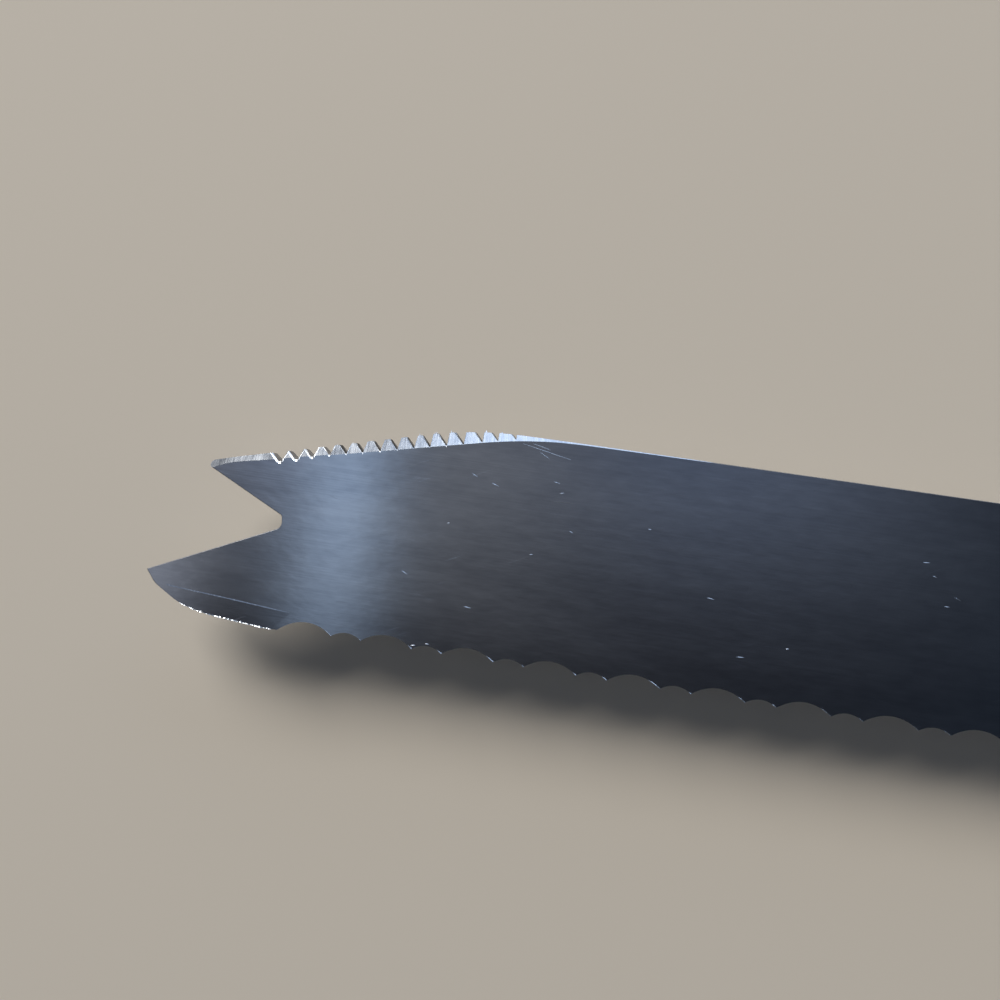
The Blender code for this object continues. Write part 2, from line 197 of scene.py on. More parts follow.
def polishedStainlessSteel():
    # stainless sheet, belt-polished along the blade: near mirror, with a faint lengthwise grain
    # that smears reflections across the blade, and the smudges and fine scratches of use
    made, tree, shader = newMaterial("polishedStainlessSteel")
    noise = "TexNoise"
    lines = addPattern(tree, noise, polish["lines"], {"Detail": 3.0, "Roughness": 0.6})
    smudges = addPattern(tree, noise, polish["smudges"],
                         {"Detail": 4.0, "Roughness": 0.55, "Distortion": 0.6})
    waves = addPattern(tree, noise, polish["waves"], {"Detail": 1.0})
    peel = addPattern(tree, noise, polish["peel"], {"Detail": 2.0})
    crests = []
    for slant in polish["scratchSlants"]:
        streak = addPattern(tree, noise, polish["scratches"], {"Detail": 2.0}, slant)
        crests.append(addNode(tree, "MapRange", None, polish["scratchCrests"], {"Value": (streak, "Fac")}))
    scratches = crests[0]
    for crest in crests[1:]:
        scratches = addNode(tree, "Math", {"operation": "MAXIMUM"}, None,
                            {0: (scratches, 0), 1: (crest, 0)})
    smudged = addNode(tree, "MapRange", None, polish["smudgeRoughness"], {"Value": (smudges, "Fac")})
    rough = addShare(tree, scratches, polish["scratchRoughness"], smudged)
    filmed = addShare(tree, lines, polish["lineShare"], smudges)
    toned = addShare(tree, peel, polish["peelShare"], filmed)
    spread = addNode(tree, "MapRange", None, polish["toneRange"], {"Value": (toned, "Value")})
    tone = addNode(tree, "ValToRGB", None, None, {"Fac": (spread, "Result")}, polish["tones"])
    relief = addReliefs(tree, [
        (waves, *polish["waveRelief"]), (peel, *polish["peelRelief"]),
        (lines, *polish["lineRelief"]), (scratches, *polish["scratchRelief"]),
    ])
    across = addNode(tree, "Tangent", {"direction_type": "UV_MAP", "uv_map": "acrossBlade"})
    feed(tree, shader, {"Metallic": 1.0, "Anisotropic": polish["acrossBlur"]}, {
        "Base Color": (tone, "Color"), "Roughness": (rough, "Value"),
        "Tangent": (across, "Tangent"), **relief,
    })
    return made


# The same steel as the grinding wheel leaves it: a pale satin of short lines square to the
# edge, which glows softly where the polished face mirrors
grind = {
    "name": "groundStainlessSteel",
    "lines": (0.10, 3.0, 3.0),  # mm; the wheel's 240 grit leaves 0.05 mm lines, drawn coarser
    "lineNoise": {"Detail": 3.0, "Roughness": 0.65},
    "slant": 8,
    "patches": (1.4, 1.4, 1.4),
    "patchNoise": {"Detail": 2.0},
    "shares": (1.0, 0.5),
    "tones": [(0.45, "#aab3c2"), (0.95, "#d2dae6")],
    "roughness": {"From Min": 0.5, "From Max": 1.0, "To Min": 0.22, "To Max": 0.30},
    "relief": 0.35,
}

# Brass rivets sanded flush with the wood: fine straight lines, and a tarnish that dulls it in
# patches
rivetBrass = {
    "name": "sandedBrass",
    "lines": (9.0, 0.07, 9.0),
    "lineNoise": {"Detail": 3.0, "Roughness": 0.6},
    "slant": 12,
    "patches": (2.4, 2.4, 2.4),
    "patchNoise": {"Detail": 4.0, "Roughness": 0.6},
    "shares": (0.35, 1.0),
    "tones": [(0.42, "#9a7437"), (0.72, "#d9b36c")],
    "roughness": {"From Min": 0.5, "From Max": 0.9, "To Min": 0.40, "To Max": 0.24},
    "relief": 0.3,
}

# Sheared and tumbled edge of the blank: greyer, with fine lines through the thickness
stamped = {
    "name": "stampedSteelEdge",
    "lines": (0.16, 0.16, 1.6),
    "detail": 3.0,
    "tones": [(0.3, "#808289"), (0.75, "#b2b4b9")],
    "roughness": 0.42,
    "relief": 0.4,
}

# Walls of the saw teeth, filed and left rough, in painted shade: a dark colour that stands in for the
# shade and dark reflections inside the gullets
filed = {
    "name": "filedSteelPaintedShade",
    "lines": (0.12, 0.12, 1.2),
    "detail": 2.0,
    "tones": [(0.3, "#34363b"), (0.75, "#62656c")],
    "roughness": 0.5,
    "relief": 0,
}

lineDepth = 0.00001  # metres; how deep a tool's lines are at full strength


def toolMarkedMetal(look):
    # a tool's straight lines and larger patches share in the tone and in the roughness, and the
    # lines stand up
    made, tree, shader = newMaterial(look["name"])
    noise = "TexNoise"
    lines = addPattern(tree, noise, look["lines"], look["lineNoise"], look["slant"])
    patches = addPattern(tree, noise, look["patches"], look["patchNoise"])
    lineShare, patchShare = look["shares"]
    weighed = addNode(tree, "Math", {"operation": "MULTIPLY"}, {1: patchShare}, {0: (patches, "Fac")})
    marks = addShare(tree, lines, lineShare, weighed)
    tone = addNode(tree, "ValToRGB", None, None, {"Fac": (marks, "Value")}, look["tones"])
    rough = addNode(tree, "MapRange", None, look["roughness"], {"Value": (marks, "Value")})
    relief = addReliefs(tree, [(lines, look["relief"], lineDepth)])
    feed(tree, shader, {"Metallic": 1.0},
         {"Base Color": (tone, "Color"), "Roughness": (rough, "Result"), **relief})
    return made


def cutSteel(look):
    # bare cut steel, toned by the fine lines through its thickness
    made, tree, shader = newMaterial(look["name"])
    lines = addPattern(tree, "TexNoise", look["lines"], {"Detail": look["detail"], "Roughness": 0.6})
    tone = addNode(tree, "ValToRGB", None, None, {"Fac": (lines, "Fac")}, look["tones"])
    relief = addReliefs(tree, [(lines, look["relief"], lineDepth)] if look["relief"] else [])
    feed(tree, shader, {"Metallic": 1.0, "Roughness": look["roughness"]},
         {"Base Color": (tone, "Color"), **relief})
    return made


wood = {
    # spacings in mm along the handle, across it and through it
    "warp": (70.0, 9.0, 9.0),
    "warpReach": (1.2, 3.4, 3.4),  # in rings
    "rings": (36.4, 2.6, 4.16),
    "ringWave": {"Scale": 0.22, "Distortion": 1.4, "Detail": 3.0, "Detail Scale": 1.6},
    "fibres": (16.0, 0.32, 0.32),
    "fibreShare": 0.6,
    "pores": (5.44, 0.578, 0.578),
    "poreEdge": {"From Min": 0.16, "From Max": 0.30, "To Min": 1.0, "To Max": 0.0},
    "tones": [(0.2, "#744427"), (0.6, "#623820"), (1.0, "#4b2a19")],
    "poreColour": "#2a150d",
    "roughness": {"From Min": 0.3, "From Max": 0.7, "To Min": 0.36, "To Max": 0.52},
    # strength, and depth in metres
    "fibreRelief": {"Strength": 0.25, "Distance": 0.00004},
    "poreRelief": {"Strength": 0.35, "Distance": 0.00006},
    "coat": {"Coat Weight": 0.12, "Coat Roughness": 0.28},
}


def oiledHardwood():
    # dense tropical-brown hardwood, sanded and oiled: straight growth bands along the handle,
    # short dark pores and a satin sheen that the fibres break up
    made, tree, shader = newMaterial("oiledHardwood")
    warp = addPattern(tree, "TexNoise", wood["warp"], {"Detail": 3.0})
    place = millimetres(tree, wood["rings"])
    warped = addNode(
        tree, "VectorMath", {"operation": "MULTIPLY_ADD"}, {1: wood["warpReach"]},
        {0: (warp, "Color"), 2: (place, "Vector")},
    )
    rings = addNode(
        tree, "TexWave",
        {"wave_type": "BANDS", "bands_direction": "DIAGONAL", "wave_profile": "SIN"},
        wood["ringWave"], {"Vector": (warped, "Vector")},
    )
    fibres = addPattern(tree, "TexNoise", wood["fibres"], {"Detail": 4.0, "Roughness": 0.65})
    poreField = addPattern(tree, "TexVoronoi", wood["pores"])
    pores = addNode(tree, "MapRange", None, wood["poreEdge"], {"Value": (poreField, "Distance")})
    banded = addNode(
        tree, "Math", {"operation": "MULTIPLY_ADD"}, {1: wood["fibreShare"]},
        {0: (fibres, "Fac"), 2: (rings, "Fac")},
    )
    tone = addNode(tree, "ValToRGB", None, None, {"Fac": (banded, "Value")}, wood["tones"])
    coloured = addNode(
        tree, "Mix", {"data_type": "RGBA"}, {"B": linearColour(wood["poreColour"])},
        {"Factor": (pores, "Result"), "A": (tone, "Color")},
    )
    rough = addNode(tree, "MapRange", None, wood["roughness"], {"Value": (fibres, "Fac")})
    fibreBump = addNode(tree, "Bump", None, wood["fibreRelief"], {"Height": (fibres, "Fac")})
    poreBump = addNode(
        tree, "Bump", {"invert": True}, wood["poreRelief"],
        {"Height": (pores, "Result"), "Normal": (fibreBump, "Normal")},
    )
    feed(tree, shader, wood["coat"], {
        "Base Color": (coloured, "Result"), "Roughness": (rough, "Result"),
        "Normal": (poreBump, "Normal"),
    })
    return made


# Meshes

def roundedPath(corners, sagitta=0.003, largestStep=4.0):
    # a closed outline through corners (x, y, radius), each rounded by its radius
    path = []
    for index, (x, y, radius) in enumerate(corners):
        beforeX, beforeY, _ = corners[index - 1]
        afterX, afterY, _ = corners[(index + 1) % len(corners)]
        headingIn = atan2(y - beforeY, x - beforeX)
        headingOut = atan2(afterY - y, afterX - x)
        turn = remainder(headingOut - headingIn, tau)
        halfTangent = tan(abs(turn) / 2)
        shortest = min(hypot(x - beforeX, y - beforeY), hypot(afterX - x, afterY - y))
        # neighbours never meet, because each takes less than half of the side between them
        reach = min(radius * halfTangent, 0.49 * shortest)
        if reach < 0.002:
            # too small a rounding to be seen
            path.append((x, y))
            continue
        fitted = reach / halfTangent
        side = copysign(fitted, turn)
        centreX = x - reach * cos(headingIn) - side * sin(headingIn)
        centreY = y - reach * sin(headingIn) + side * cos(headingIn)
        fineStep = 2 * acos(max(0.0, 1 - sagitta / fitted))
        steps = ceil(abs(turn) / min(fineStep, radians(largestStep)))
        for step in range(steps + 1):
            heading = headingIn + turn * step / steps
            path.append((centreX + side * sin(heading), centreY - side * cos(heading)))
    return path


def smoothPath(points, steps=8):
    # an open curve through the points, as a Catmull-Rom spline
    ends = [points[0]] + list(points) + [points[-1]]
    path = []
    for i in range(len(points) - 1):
        p0, p1, p2, p3 = (Vector(p) for p in ends[i:i + 4])
        for step in range(steps):
            t = step / steps
            path.append((
                2 * p1 + (p2 - p0) * t + (2 * p0 - 5 * p1 + 4 * p2 - p3) * t * t
                + (3 * p1 - p0 - 3 * p2 + p3) * t ** 3
            ) / 2)
    return path + [Vector(points[-1])]


def toMesh(work, name):
    mesh = bpy.data.meshes.new(name)
    work.to_mesh(mesh)
    work.free()
    return mesh


def loftMesh(name, rings, surface=0):
    # a closed solid from rings of points, all with the same count, capped at both ends
    work = bmesh.new()
    made = [[work.verts.new(p) for p in ring] for ring in rings]
    count = len(rings[0])
    for lower, upper in zip(made, made[1:]):
        for i in range(count):
            j = (i + 1) % count
            work.faces.new((lower[i], lower[j], upper[j], upper[i]))
    work.faces.new(made[0][::-1])
    work.faces.new(made[-1])
    bmesh.ops.recalc_face_normals(work, faces=work.faces)
    for face in work.faces:
        face.material_index = surface
    return toMesh(work, name)


def prism(name, outline, low, high, surface=0):
    rings = [[(x, y, z) for x, y in outline] for z in (low, high)]
    return loftMesh(name, rings, surface)


def newPiece(name, mesh, materials):
    piece = bpy.data.objects.new(name, mesh)
    bpy.context.scene.collection.objects.link(piece)
    for material in materials:
        mesh.materials.append(material)
    return piece


def carve(piece, cuts):
    # cuts each mesh, at its own place, out of the piece and keeps the cut's own surface
    for mesh, place in cuts:
        cutter = newPiece("cutter", mesh, piece.data.materials[:])
        if place:
            cutter.matrix_world = place
        modifier = piece.modifiers.new("cut", "BOOLEAN")
        modifier.operation = "DIFFERENCE"
        modifier.solver = "MANIFOLD"  # the exact solver returns nothing for one of the gullets
        modifier.material_mode = "INDEX"
        modifier.object = cutter
        bpy.context.view_layer.update()
        evaluated = piece.evaluated_get(bpy.context.evaluated_depsgraph_get())
        carved = bpy.data.meshes.new_from_object(evaluated)
        piece.modifiers.clear()
        piece.data = carved
        bpy.data.objects.remove(cutter)


def inwardNormals(outline):
    # unit normals into a closed outline that runs anticlockwise
    normals = []
    for index, (x, y) in enumerate(outline):
        beforeX, beforeY = outline[index - 1]
        afterX, afterY = outline[(index + 1) % len(outline)]
        alongX, alongY = afterX - beforeX, afterY - beforeY
        length = hypot(alongX, alongY)
        normals.append((-alongY / length, alongX / length))
    return normals


def stepInward(outline, steps):
    # a ring for each (inset, z)
    inward = inwardNormals(outline)
    return [[(x + nx * inset, y + ny * inset, z) for (x, y), (nx, ny) in zip(outline, inward)]
            for inset, z in steps]


def circle(centre, radius, steps):
    turns = [tau * i / steps for i in range(steps)]
    return [(centre.x + radius * cos(a), centre.y + radius * sin(a)) for a in turns]


def smoothUpTo(mesh, angle):
    mesh.shade_smooth()
    mesh.set_sharp_from_angle(angle=radians(angle))


def settle(piece, body="root"):
    # from the knife's millimetres to the row's metres, then on to its body
    piece.data.transform(toRowMatrix)
    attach(piece, body)


# Blade

blade = {
    "width": 21.1,
    "length": 125.0,
    "thickness": 1.5,
    "lowerTip": [(-0.18, 3.52, 0.08), (0.8, 2.3, 2.0), (3.3, 0.82, 6.0), (5.6, 0.22, 12.0)],
    "bellyLevelFrom": 12.0,
    "bellyLevelRadius": 30.0,
    "bellyDrop": 0.3,
    "upperSetback": 3.6,
    "upperTipRadius": 0.4,
    "forkRoot": [(11.98, 10.42, 0.3), (12.15, 9.32, 0.75)],
    "slopeAngle": 14.9,
    "slopeLength": 28.6,
    "crownRadius": 35.0,
    "rimRadius": 0.07,  # the tumbled corner round the stamped outline
    "heelLength": 6.0,
    "heelLean": 2.0,
    "heelRadius": 1.2,
    "chokeRadius": 1.5,  # the inner corner between the heel and the handle
    "largestStep": 2.8,  # degrees, round a corner
    "sharpAngle": 3.2,  # a larger turn between two faces shows as an edge
}
frontFace = blade["thickness"] / 2
outlineSagitta = 0.002
uvSize = 240.0
overshoot = 5.0  # straight cutters run on this far past what they cut

# The blade's surfaces, by their place in its list of materials
polishedSurface, groundSurface, stampedSurface, filedPaintedShadeSurface = range(4)

handle = {
    "length": 112.0,
    "frontBottom": 2.2,
    "cornerRadius": 4.5,
    # corners behind the front end, each with its height and rounding; the upper ones' heights
    # are above the blade's back
    "lowerCorners": [(26, -2.4, 45), (70, 2.2, 60), (102, -5.0, 9), (112, 6.0, 14)],
    "upperCorners": [(109, 0.7, 8), (70, -0.4, 60), (26, 1.2, 100)],
    "scaleRise": 6.3,  # from the tang's face to the scale's outer face
    "glueGap": 0.02,
    "edgeInset": 4.1,
    "edgeDrop": 3.3,
    "edgeFullness": 0.92,  # below 1 the rounded edge is fuller than an ellipse
    "edgeSteps": 14,
    "largestStep": 3.0,
    "sharpAngle": 30.0,
}


def slopeHeight(x):
    return blade["width"] - (blade["slopeLength"] - x) * tan(radians(blade["slopeAngle"]))


def handleCorners():
    front, width, radius = blade["length"], blade["width"], handle["cornerRadius"]
    return [
        (front, handle["frontBottom"], radius),
        *((front + x, y, r) for x, y, r in handle["lowerCorners"]),
        *((front + x, width + y, r) for x, y, r in handle["upperCorners"]),
        (front, width, radius),
    ]


def bladeCorners():
    heel = blade["length"] - blade["heelLength"]
    return [
        *blade["lowerTip"],
        (blade["bellyLevelFrom"], -blade["bellyDrop"], blade["bellyLevelRadius"]),
        (heel, -blade["bellyDrop"], blade["heelRadius"]),
        (heel + blade["heelLean"], handle["frontBottom"], blade["chokeRadius"]),
        *handleCorners(),
        (blade["slopeLength"], blade["width"], blade["crownRadius"]),
        (blade["upperSetback"], slopeHeight(blade["upperSetback"]), blade["upperTipRadius"]),
        *blade["forkRoot"],
    ]


edge = {
    "start": 13.5,
    "longScallop": 4.86,
    "shortScallop": 2.82,
    "longDepth": 0.87,
    "shortDepth": 0.47,
    "grindAngle": 22.0,
    "plainHeel": 5.0,
    "bellyDepth": 0.65,  # the back's grind meets the belly's edge this far below the front face
    "bevelFront": 2.4,
    "bevelRear": 1.45,
    "bevelEnd": 14.2,
    "bevelAngle": 0.7,
    "bevelRunOut": 0.8,
    "largestStep": 2.5,
}
grindTurn = radians(edge["grindAngle"])


def scallopArc(start, chord, depth, firstLevel, lastLevel):
    sag = depth * sin(grindTurn)
    radius = (chord ** 2 / 4 + sag ** 2) / (2 * sag)
    centre = radius - sag
    low = -acos((centre - firstLevel) / radius)
    high = acos((centre - lastLevel) / radius)
    steps = ceil((high - low) / radians(edge["largestStep"]))
    arc = []
    for step in range(steps + 1):
        angle = low + (high - low) * step / steps
        arc.append((start + chord / 2 + radius * sin(angle), centre - radius * cos(angle)))
    return arc


def scallopPairs():
    room = blade["length"] - blade["heelLength"] - edge["plainHeel"] - edge["start"]
    return int(room / (edge["longScallop"] + edge["shortScallop"]))


def serrationCutter():
    # ground off the back face: the plain belly first, then pairs of a long and a short scallop
    drop = blade["bellyDrop"]
    pairs = scallopPairs()
    level = drop * sin(grindTurn) + edge["bellyDepth"] * cos(grindTurn)
    runOut = blade["thickness"] + drop
    outline = [(-overshoot, runOut + overshoot), (-overshoot, level)]
    start = edge["start"]
    for pair in range(pairs):
        first = level if pair == 0 else 0.0
        last = runOut if pair == pairs - 1 else 0.0
        outline += scallopArc(start, edge["longScallop"], edge["longDepth"], first, 0.0)
        start += edge["longScallop"]
        outline += scallopArc(start, edge["shortScallop"], edge["shortDepth"], 0.0, last)[1:]
        start += edge["shortScallop"]
        if pair < pairs - 1:
            outline.pop()
    outline.append((outline[-1][0], runOut + overshoot))
    mesh = prism("serrations", outline, -2 * overshoot, 2 * overshoot, groundSurface)
    turn = Matrix.Rotation(-pi / 2 - grindTurn, 4, "X")
    return mesh, Matrix.Translation((0, 0, frontFace)) @ turn


def bellyBevelCutter():
    heading = atan2(edge["bevelFront"] - edge["bevelRear"], edge["bevelEnd"])
    length = edge["bevelEnd"] + overshoot
    reach = 2 * overshoot
    outline = [(0, 0), (length, 0), (length, reach), (edge["bevelRunOut"] * reach, reach)]
    mesh = prism("bellyBevel", outline, 0, overshoot, polishedSurface)
    place = Matrix.Translation((edge["bevelEnd"], edge["bevelRear"], frontFace))
    turn = Matrix.Rotation(pi - heading, 4, "Z")
    tilt = Matrix.Rotation(-radians(edge["bevelAngle"]), 4, "X")
    return mesh, place @ turn @ tilt


teeth = {
    "bevelAngle": 36.0,
    "bevelLine": [
        (1.6, 12.6), (4.9, 14.02), (6.6, 14.72), (10.3, 15.52), (14.0, 16.38), (17.2, 17.03),
        (22.0, 18.12), (26.5, 19.15), (31.4, 20.22), (35.0, 20.75), (38.0, 20.95), (42.0, 21.0),
        (50.0, 21.04), (58.0, 21.14),
    ],
    "lineAngle": 14.25,
    # the lowest point of each gullet on the front face
    "gullets": [
        (11.13, 15.24), (12.65, 15.65), (14.11, 16.11), (15.69, 16.58), (17.24, 16.93),
        (18.76, 17.30), (20.39, 17.66), (21.95, 18.03), (23.50, 18.41), (24.96, 18.74),
        (26.49, 19.06), (28.04, 19.44), (29.73, 19.91), (31.15, 20.25), (32.79, 20.62),
    ],
    # degrees from the row's line, for the first gullet and from the steady ones on
    "frontFlanks": (53.0, 60.0),
    "rearFlanks": (60.0, 75.0),
    "steadyFrom": 9,
    "rootRadii": [0.28, 0.26, 0.20, 0.12, 0.05],
    "rimWidths": [0.20, 0.19, 0.16, 0.12, 0.07],  # bright turned-over rim under each gullet
    "rimSide": 0.2,  # of the rim's width, up the flanks
    "rimDepth": 0.6,  # of the rim's width
    "paintedShadeDepth": 0.75,  # painted shade: the filed walls carry a dark colour this far below the rim
    "roundGullets": 4,  # the first ones are round, and their walls get the lighter stamped steel, without painted shade
    "rimLift": 0.1,  # of the rim's width and depth, where it leaves the surface
    "tilt": 8.0,
    "height": 1.7,  # reaches past the tips of the tallest teeth
    "rootSteps": 12,
    # how far the cutters reach: the bevel's before its line, past it and above the face; the
    # gullets' below the back face and above the surface
    "bevelCutter": (0.4, 6.0, 3.0),
    "gulletCutter": (1.0, 2.0),
}
bevelFall = tan(radians(teeth["bevelAngle"]))  # how fast the bevel sinks away from its line


def leftOf(ahead):
    return Vector((-ahead.y, ahead.x, 0))


def directions(heading):
    # unit vectors in the blade's plane, along a heading and square to it
    ahead = Vector((cos(heading), sin(heading), 0))
    return ahead, leftOf(ahead)


def backBevelCutter():
    # the satin bevel under the saw teeth, swept along its own curved line on the front face
    line = smoothPath([Vector((x, y, frontFace)) for x, y in teeth["bevelLine"]])
    before, past, above = teeth["bevelCutter"]
    rings = []
    for index, point in enumerate(line):
        ahead = line[min(index + 1, len(line) - 1)] - line[max(index - 1, 0)]
        out = leftOf(ahead).normalized()
        rings.append([point + out * reach + Vector((0, 0, rise)) for reach, rise in (
            (-before, before * bevelFall), (past, -past * bevelFall), (past, above), (-before, above))])
    return loftMesh("backBevel", rings, groundSurface), None


def flankLeans(index):
    # how far each flank of this gullet leans away from upright, per unit of height
    share = min(1.0, index / teeth["steadyFrom"])
    leans = []
    for first, steady in (teeth["frontFlanks"], teeth["rearFlanks"]):
        leans.append(1 / tan(radians(first + (steady - first) * share)))
    return leans


def gulletOutline(index, offset, shift):
    # a V with a rounded root whose lowest point lies at shift - offset, in slope coordinates
    rootRadius = teeth["rootRadii"][min(index, len(teeth["rootRadii"]) - 1)]
    leanFront, leanRear = flankLeans(index)
    halfAngle = (atan(leanFront) + atan(leanRear)) / 2
    radius = rootRadius + offset
    apex = -offset - radius * (1 / sin(halfAngle) - 1)
    skew = (atan(leanRear) - atan(leanFront)) / 2
    centreH = apex + radius / sin(halfAngle) * cos(skew)
    centreS = radius / sin(halfAngle) * sin(skew)
    top = teeth["height"]
    outline = [(-(top - apex) * leanFront, top)]
    startAngle = pi + atan(leanFront)
    endAngle = tau - atan(leanRear)
    for step in range(teeth["rootSteps"] + 1):
        angle = startAngle + (endAngle - startAngle) * step / teeth["rootSteps"]
        outline.append((centreS + radius * cos(angle), centreH + radius * sin(angle)))
    outline.append(((top - apex) * leanRear, top))
    return [(s, h + shift) for s, h in outline]


def bevelHeight(x):
    # where the bevel's line on the front face crosses this x
    points = teeth["bevelLine"]
    for (x0, y0), (x1, y1) in zip(points, points[1:]):
        if x <= x1:
            return y0 + (y1 - y0) * (x - x0) / (x1 - x0)
    return points[-1][1]


def gulletCutters():
    # filed gullets, deeper at the front face, each with a narrow rim that follows the bevel
    along, up = directions(radians(teeth["lineAngle"]))
    slip = tan(radians(teeth["tilt"]))
    below, above = teeth["gulletCutter"]
    halves = [bmesh.new(), bmesh.new()]
    for index, (x, y) in enumerate(teeth["gullets"]):
        rim = teeth["rimWidths"][min(index, len(teeth["rimWidths"]) - 1)]
        border = (bevelHeight(x) - y) * along.x  # the bevel's line above the root
        rimLow = teeth["rimDepth"] * rim
        side = teeth["rimSide"] * rim
        lip = side - teeth["rimLift"] * rim
        rings = []
        # each level: offset of the flanks, height of the root, depth under the surface
        for offset, root, lower in (
                (0, rim, None), (0, rim, rimLow + teeth["paintedShadeDepth"]), (0, rim, rimLow),
                (side, lip, -teeth["rimLift"] * rimLow), (side, lip, -above)):
            ring = []
            for s, h in gulletOutline(index, offset, root):
                surface = frontFace - max(0.0, h - border) * bevelFall
                z = -frontFace - below if lower is None else surface - lower
                slide = slip * (frontFace - z) if offset == 0 else 0.0
                ring.append(Vector((x, y, z)) + along * s + up * (h + slide))
            rings.append(ring)
        mesh = loftMesh("gullet", rings, groundSurface)
        # painted shade: the steady gullets' upper walls take the dark filed steel, the round gullets'
        # walls the lighter stamped steel
        walls = [stampedSurface, stampedSurface if index < teeth["roundGullets"] else filedPaintedShadeSurface]
        for polygon in mesh.polygons:
            level = min(polygon.vertices) // len(rings[0])
            if level < len(walls):
                polygon.material_index = walls[level]
        # every other gullet goes into the same cutter, because neighbours overlap in the air
        halves[index % 2].from_mesh(mesh)
    for half in halves:
        bmesh.ops.triangulate(half, faces=half.faces)
    return [(toMesh(half, "gullets"), None) for half in halves]


rivet = {
    "count": 3,
    "inset": 18.0,
    "headDiameter": 8.0,
    "headThickness": 2.0,
    "tubeDiameter": 4.2,
    "tubeWall": 0.4,
    "rimChamfer": 0.08,
    "crown": 0.035,  # the head's middle stands this much above its rim
    "crownShare": 0.75,  # and three quarters of it half way out
    "sunk": 0.05,  # its rim lies this far under the wood's face
    "seatClearance": 0.03,
    "boreClearance": 0.2,
    "pinClearance": 0.2,
    "endClearance": 0.2,
    "pinChamfer": 0.2,
    "steps": 96,
    "boreSteps": 48,
}


def rivetPlaces():
    first = blade["length"] + rivet["inset"]
    step = (handle["length"] - 2 * rivet["inset"]) / (rivet["count"] - 1)
    return [Vector((first + i * step, blade["width"] / 2, 0)) for i in range(rivet["count"])]


def rivetBore(place):
    return circle(place, rivet["tubeDiameter"] / 2 + rivet["boreClearance"], rivet["boreSteps"])


def markAcross(mesh):
    # a UV map whose U runs across the blade, which gives the polish its direction
    uv = mesh.uv_layers.new(name="acrossBlade")
    for polygon in mesh.polygons:
        nx, ny, nz = (abs(c) for c in polygon.normal)
        for loop in polygon.loop_indices:
            x, y, z = mesh.vertices[mesh.loops[loop].vertex_index].co / uvSize
            uv.data[loop].uv = (y, x) if nz >= max(nx, ny) else ((z, x) if ny >= nx else (y, z))


def isFlat(face):
    # part of a flat of the blade, or of the shallow bevel at the belly
    return abs(face.normal.z) > 0.99


def keepFlat(mesh):
    # the flat of the blade and the shallow bevel at the belly meet in a crisp edge
    work = bmesh.new()
    work.from_mesh(mesh)
    for line in work.edges:
        if all(isFlat(side) for side in line.link_faces):
            line.smooth = False
    work.to_mesh(mesh)
    work.free()


def makeBlade(surfaces):
    # the blank: stamped outline with its tumbled rim, as rings that step in and up
    outline = roundedPath(bladeCorners(), outlineSagitta, blade["largestStep"])
    rim = blade["rimRadius"]
    profile = [(rim * (1 - sin(a)), frontFace - rim * (1 - cos(a)))
               for a in (0, pi / 6, pi / 3, pi / 2)]
    lower = [(inset, -z) for inset, z in profile]
    mesh = loftMesh("blank", stepInward(outline, lower + profile[::-1]), stampedSurface)
    for polygon in mesh.polygons:
        if isFlat(polygon):
            polygon.material_index = polishedSurface
    piece = newPiece("blade", mesh, surfaces)
    cuts = [serrationCutter(), bellyBevelCutter(), backBevelCutter(), *gulletCutters()]
    for place in rivetPlaces():
        hole = prism("hole", rivetBore(place), -overshoot, overshoot, stampedSurface)
        cuts.append((hole, None))
    carve(piece, cuts)
    markAcross(piece.data)
    smoothUpTo(piece.data, blade["sharpAngle"])
    keepFlat(piece.data)
    settle(piece)
    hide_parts("blade_and_tang")


wear = {
    "seed": 7,
    "rooted": 0.004,  # ridges stand this deep in the blade
}

# Two torn peaks on each tooth's top
flakes = {
    "places": (0.2, 0.72),  # shares of the top
    # how far they stand out, where a tooth isn't named in peaks with its own two
    "reach": (0.04, 0.10),
    "width": (0.16, 0.26),
    "widest": 0.6,  # share of the top
    "peaks": {3: (0.20, 0.06), 4: (0.17, 0.07), 8: (0.27, 0.18), 9: (0.22, 0.26),
              10: (0.31, 0.13), 12: (0.29, 0.09), 13: (0.24, 0.07)},
    "root": (0.04, 0.05, 0.06),  # below the top, back into the tooth, under the bevel
    "worn": 0.08,  # a tooth's top is this much narrower at each end
    "leastTop": 0.12,
}

# Sizes of ridges are width and height; the slant is how far the crest leans, in widths

bellyBurr = {
    "ends": (3.5, 12.7),  # along the blade
    "step": 0.07,
    "shift": Vector((0, 0.01, -0.002)),
    "fades": (40, 10),  # steps over which it grows and dies away
    "thinning": 1.2,  # above 1 there are more thin spots than thick ones
    "width": (0.04, 0.15),  # least, and what the thickest spot adds
    "steepness": (0.04, 0.62),  # only steep flanks turn to the panels and glint
    "across": Vector((0.1, 1, 0)).normalized(),
    "slant": -0.4,
}

scallopBurr = {
    "start": (0.76, 0.92),  # share of a scallop's length; the burr ends at its point
    "size": (0.085, 0.05),
    "shift": 0.01,
    "growth": (0.15, 2.0),  # share at its start, what its whole length would add
    "torn": (0.5, 1.0),
    "across": Vector((0.58, 0.81, 0)),
    "slant": -0.35,
}

# The line that the grinding wheel's corner raised along the top of the belly's bevel
grindLine = {
    "points": [(1.9, 2.38), (3.05, 2.26), (8.5, 1.93), (14.1, 1.52)],
    "size": (0.17, 0.008),
    "steps": 12,
    "fade": (0.1, 5),  # share at its ends, steps over which it grows
    "torn": (0.7, 1.1),
    "across": Vector((0.06, 1, 0)).normalized(),
    "slant": -0.42,
}

fineScratches = {
    "lines": [((33.4, 20.34), (38.1, 19.47)), ((34.4, 20.48), (36.1, 20.10)),
              ((35.1, 19.80), (36.1, 19.27))],
    "size": (0.06, 0.014),
    "steps": 12,
    "wander": 0.008,
}

